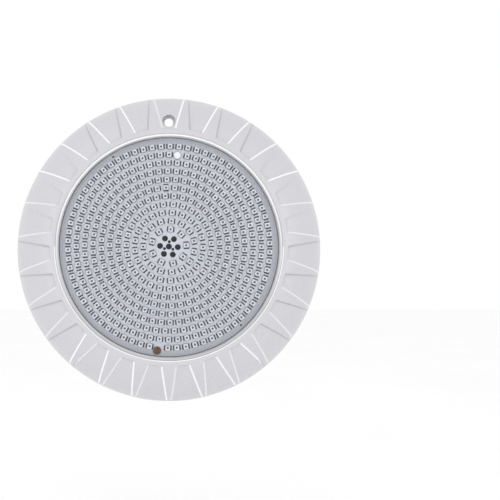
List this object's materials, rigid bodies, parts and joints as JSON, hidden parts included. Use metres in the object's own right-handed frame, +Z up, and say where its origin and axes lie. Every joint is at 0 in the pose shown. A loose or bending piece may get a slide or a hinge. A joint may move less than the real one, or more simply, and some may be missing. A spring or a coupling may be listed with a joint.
{
  "type": "underwater pool light",
  "caption": "Surface-mounted round pool light: ribbed white face ring, resin-filled LED disc, rear cable gland and a wall bracket it hooks onto.",
  "frame": {"origin": "on the wall plane, where the lamp's axis meets it", "axes": "+Z up, -Y out of the wall along the light's direction, +X to the right as seen from the pool"},
  "size_m": [0.29, 0.055, 0.29],
  "materials": {
    "white_abs": "glossy injection-moulded ABS",
    "bracket_abs": "satin injection-moulded ABS",
    "stainless": "bright A4 stainless steel",
    "board": "white solder mask on an aluminium circuit board",
    "white_silicone": "white silicone",
    "brown_disc": "brown dipped disc",
    "clear_resin": "water-clear cast resin",
    "dark_potting": "black cast epoxy",
    "driver_laminate": "green solder mask on glass epoxy",
    "black_epoxy": "moulded black epoxy",
    "capacitor_can": "sleeved aluminium can",
    "ferrite": "coated ferrite",
    "green_plastic": "moulded polyamide",
    "red_wire": "PVC insulation",
    "black_wire": "PVC insulation",
    "gland_plastic": "black polyamide",
    "black_rubber": "moulded nitrile rubber",
    "led_package": "white PPA package with a clear filled cavity"
  },
  "bodies": {
    "bracket": {"wall_bracket": "bracket_abs"},
    "pin": {"hook_pin": "stainless", "pin_clip": "stainless"},
    "lamp": {"face_ring": "white_abs", "lamp_housing": "white_abs", "housing_screws": "stainless", "led_board": "board", "fill_plug": "white_silicone", "thermal_cutout": "brown_disc", "clear_resin": "clear_resin", "rear_potting": "dark_potting", "driver_board": "driver_laminate", "driver_screws": "stainless", "bridge_rectifiers": "black_epoxy", "capacitors": "capacitor_can", "inductor": "ferrite", "driver_chips": "black_epoxy", "terminal_block": "green_plastic", "terminal_screws": "stainless", "positive_wire": "red_wire", "negative_wire": "black_wire", "gland_body": "gland_plastic", "gland_o_ring": "black_rubber", "gland_locknut": "gland_plastic", "gland_seal": "black_rubber", "gland_nut": "gland_plastic", "hanger_plate": "bracket_abs", "hanger_screws": "stainless", "led_ring_01": "led_package", "led_ring_02": "led_package", "led_ring_03": "led_package", "led_ring_04": "led_package", "led_ring_05": "led_package", "led_ring_06": "led_package", "led_ring_07": "led_package", "led_ring_08": "led_package", "led_ring_09": "led_package", "led_ring_10": "led_package", "led_ring_11": "led_package"}
  },
  "joints": [
    {"name": "swing_out", "type": "hinge", "parent": "bracket", "child": "pin", "pos_m": [0, -0.007, -0.1275], "axis": [1, 0, 0], "range_deg": [0, 10]},
    {"name": "lift_off", "type": "slide", "parent": "pin", "child": "lamp", "axis": [0, 0, 1], "range_m": [0, 0.007]}
  ]
}
